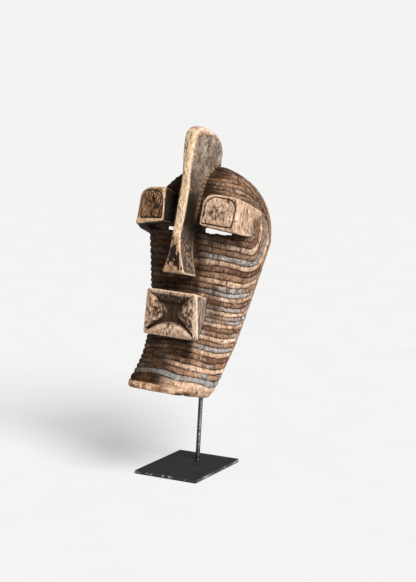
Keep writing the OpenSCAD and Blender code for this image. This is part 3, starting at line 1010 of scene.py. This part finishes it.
def black_steel(name, gloss=0.0, plate=None, rubbed=None):
    """Black lacquer on hot-rolled steel. plate is the size of a flat node whose outline is bare
    metal in places, partly wear and partly painted highlight. rubbed is the way that a rod's painted
    highlight faces: a pale mottled streak down that side, fading at its foot."""
    g = Graph(name)
    scale = g.noise(55, 6, 0.6)
    fine = g.noise(1900, 2, 0.5)
    scratches = g.noise(380, 3, 0.6, g.stretched((1.0, 0.05, 1.0)))
    colour = g.mix(g.span(scale, 0.35, 0.7), rgba(20, 20, 21), rgba(34, 33, 33))
    colour = g.mix(g.span(scratches, 0.66, 0.78, 0.0, 0.4), colour, rgba(70, 68, 66))
    roughness = g.math("ADD", g.span(scale, 0.3, 0.7, 0.36 - gloss, 0.55 - gloss),
                       g.math("MULTIPLY", scratches, 0.08))
    if plate:
        # partly wear, partly painted highlight: bare metal along the plate's outline
        generated = g.node("ShaderNodeTexCoord").outputs["Generated"]
        across = g.node("ShaderNodeSeparateXYZ", {0: generated}).outputs
        from_edge = g.math("MINIMUM", *(
            g.math("MULTIPLY", g.math("SUBTRACT", 0.5, g.math(
                "ABSOLUTE", g.math("SUBTRACT", across[i], 0.5))), plate[i]) for i in (0, 1)))
        bare = g.math("MULTIPLY", g.span(from_edge, 0.0009, 0.0002), g.span(
            g.noise(110, 4, 0.6), 0.52, 0.66))
        colour = g.mix(bare, colour, rgba(150, 149, 146))
        roughness = g.math("SUBTRACT", roughness, g.math("MULTIPLY", bare, 0.15))
    if rubbed:
        # painted highlight: a pale mottled streak on the side facing rubbed, for the key light's
        # reflection, fading near the foot
        normal = g.node("ShaderNodeTexCoord").outputs["Normal"]
        side = g.node("ShaderNodeVectorMath", {0: normal, 1: rubbed}, operation="DOT_PRODUCT")
        bare = g.math("MULTIPLY", g.span(side.outputs["Value"], 0.84, 0.99), g.span(
            g.noise(420, 3, 0.7), 0.40, 0.66))
        height = g.node("ShaderNodeSeparateXYZ", {0: g.place}).outputs[2]
        bare = g.math("MULTIPLY", bare, g.span(height, 0.01, 0.04, 0.15, 1.0))
        colour = g.mix(bare, g.mix(0.6, colour, rgba(6, 6, 7)), rgba(178, 177, 174))
    normal = g.bump(fine, 0.25, 0.0003)
    normal = g.bump(scale, 0.3, 0.0012, normal)
    return g.finish(colour, roughness, normal, Specular_IOR_Level=0.5)


def soft_vinyl(name):
    g = Graph(name)
    haze = g.noise(240, 4, 0.6)
    colour = g.mix(g.span(haze, 0.35, 0.7), rgba(214, 210, 200), rgba(188, 182, 168))
    return g.finish(colour, g.span(haze, 0.3, 0.7, 0.32, 0.5), g.bump(haze, 0.3, 0.0004),
                    Subsurface_Weight=0.1)


def felt_cloth(name):
    g = Graph(name)
    fibre = g.noise(1600, 5, 0.7, distortion=1.5)
    clump = g.noise(260, 4, 0.6)
    colour = g.mix(g.span(fibre, 0.3, 0.75), rgba(22, 22, 23), rgba(58, 57, 57))
    height = g.math("ADD", fibre, g.math("MULTIPLY", clump, 0.5))
    return g.finish(colour, g.span(clump, 0.3, 0.7, 0.88, 1.0), g.bump(height, 0.8, 0.0008),
                    Specular_IOR_Level=0.1, Sheen_Weight=0.35)


def zinc_steel(name):
    g = Graph(name)
    bloom = g.noise(600, 4, 0.6)
    colour = g.mix(g.span(bloom, 0.4, 0.65), rgba(176, 176, 180), rgba(126, 122, 112))
    return g.finish(colour, g.span(bloom, 0.3, 0.7, 0.28, 0.5), g.bump(bloom, 0.25, 0.0003),
                    Metallic=1.0)


# ---- build -----------------------------------------------------------------------------------

face = build_face()
crest = build_crest()
eyes = [build_eye(1, "carved_eye_left", "left_eye_block"),
        build_eye(-1, "carved_eye_right", "right_eye_block")]
mouth = build_mouth()
batten = build_batten()
screws = build_screws()

wood_face = carved_wood("striated_wood", (0.5, 0.5, 0.14), 0.62)
wood_block = carved_wood("worn_wood", (1.0, 1.0, 0.16), 0.52)
face.data.materials.append(wood_face)
for piece in [crest, mouth] + eyes:
    piece.data.materials.append(wood_block)
batten.data.materials.append(plain_wood("batten_pine"))
screws.data.materials.append(zinc_steel("zinc_steel"))


def finish_node(node, material, bevel=0.0):
    """Puts a material on a CAD node that stays, and eases its edges."""
    obj = frame["nodes"][node]
    obj.data.materials.clear()
    obj.data.materials.append(material)
    if bevel:
        ease = obj.modifiers.new("ease", "BEVEL")
        ease.width, ease.segments, ease.limit_method = bevel, 3, "ANGLE"
        ease.angle_limit = radians(40)


low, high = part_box("base_plate")
plate_steel = black_steel("black_steel_plate", plate=(high[0] - low[0], high[1] - low[1]))
# the rod's painted highlight faces this way
rod_steel = black_steel("black_steel_rod", gloss=0.17, rubbed=(0.78, -0.63, 0.0))
finish_node("base_plate", plate_steel, 0.0004)
finish_node("post", rod_steel)
finish_node("post_weld", rod_steel)
finish_node("post_cap", soft_vinyl("soft_vinyl"))
finish_node("base_felt", felt_cloth("felt"), 0.0003)

# ---- stage, light and camera -----------------------------------------------------------------

FLOOR_R, FLOOR_SIDES = 14.0, 96
floor_mesh = bpy.data.meshes.new("floor")
corners = [2 * pi * i / FLOOR_SIDES for i in range(FLOOR_SIDES)]
floor_mesh.from_pydata([(FLOOR_R * cos(a), FLOOR_R * sin(a), 0.0) for a in corners], [],
                       [list(range(FLOOR_SIDES))])
floor = add_object("floor", floor_mesh)
g = Graph("pale_floor")
mottle = g.noise(9, 5, 0.6)
floor_mesh.materials.append(g.finish(
    g.mix(g.span(mottle, 0.3, 0.7), rgba(170, 170, 172), rgba(173, 173, 174)),
    g.span(mottle, 0.3, 0.7, 0.7, 0.85), g.bump(mottle, 0.05, 0.002), Specular_IOR_Level=0.2,
    Emission_Color=(1.0, 1.0, 0.995, 1.0), Emission_Strength=0.41))

AIM = Vector((0.0, -0.03, 0.28))


def sun_light(name, azimuth, elevation, strength, softness, tint):
    """Soft light from one side, the same all over the floor."""
    lamp = bpy.data.lights.new(name, "SUN")
    lamp.energy, lamp.angle, lamp.color = strength, radians(softness), tint
    obj = add_object(name, lamp)
    a, e = radians(azimuth), radians(elevation)
    away = Vector((sin(a) * cos(e), -cos(a) * cos(e), sin(e)))
    obj.location = AIM + away * 3
    obj.rotation_mode = "QUATERNION"
    obj.rotation_quaternion = away.to_track_quat("Z", "Y")


sun_light("key", azimuth=64, elevation=40, strength=5.2, softness=32, tint=(1.0, 0.98, 0.945))

world = bpy.data.worlds.new("studio")
world.use_nodes = True
sky = world.node_tree.nodes["Background"]
sky.inputs["Color"].default_value = (0.90, 0.95, 1.0, 1.0)
sky.inputs["Strength"].default_value = 0.19
backdrop = world.node_tree.nodes.new("ShaderNodeBackground")
backdrop.inputs["Color"].default_value = (0.89, 0.89, 0.885, 1.0)
seen = world.node_tree.nodes.new("ShaderNodeMixShader")
links = world.node_tree.links
links.new(world.node_tree.nodes.new("ShaderNodeLightPath").outputs["Is Camera Ray"],
          seen.inputs[0])
links.new(sky.outputs[0], seen.inputs[1])
links.new(backdrop.outputs[0], seen.inputs[2])
links.new(seen.outputs[0], world.node_tree.nodes["World Output"].inputs["Surface"])
bpy.context.scene.world = world
bpy.context.scene.view_settings.view_transform = "Standard"

CAMERA_AZIMUTH, CAMERA_PITCH = radians(29.852), radians(8.943)
CAMERA_PLACE = Vector((986.92, -1660.379, 563.574)) * MM
camera_data = bpy.data.cameras.new("camera")
camera_data.lens, camera_data.sensor_width = 85.0, 36.0
camera = add_object("camera", camera_data)
camera.location = CAMERA_PLACE
ahead = Vector((-sin(CAMERA_AZIMUTH) * cos(CAMERA_PITCH),
                cos(CAMERA_AZIMUTH) * cos(CAMERA_PITCH), -sin(CAMERA_PITCH)))
camera.rotation_mode = "QUATERNION"
camera.rotation_quaternion = ahead.to_track_quat("-Z", "Y")
bpy.context.scene.camera = camera
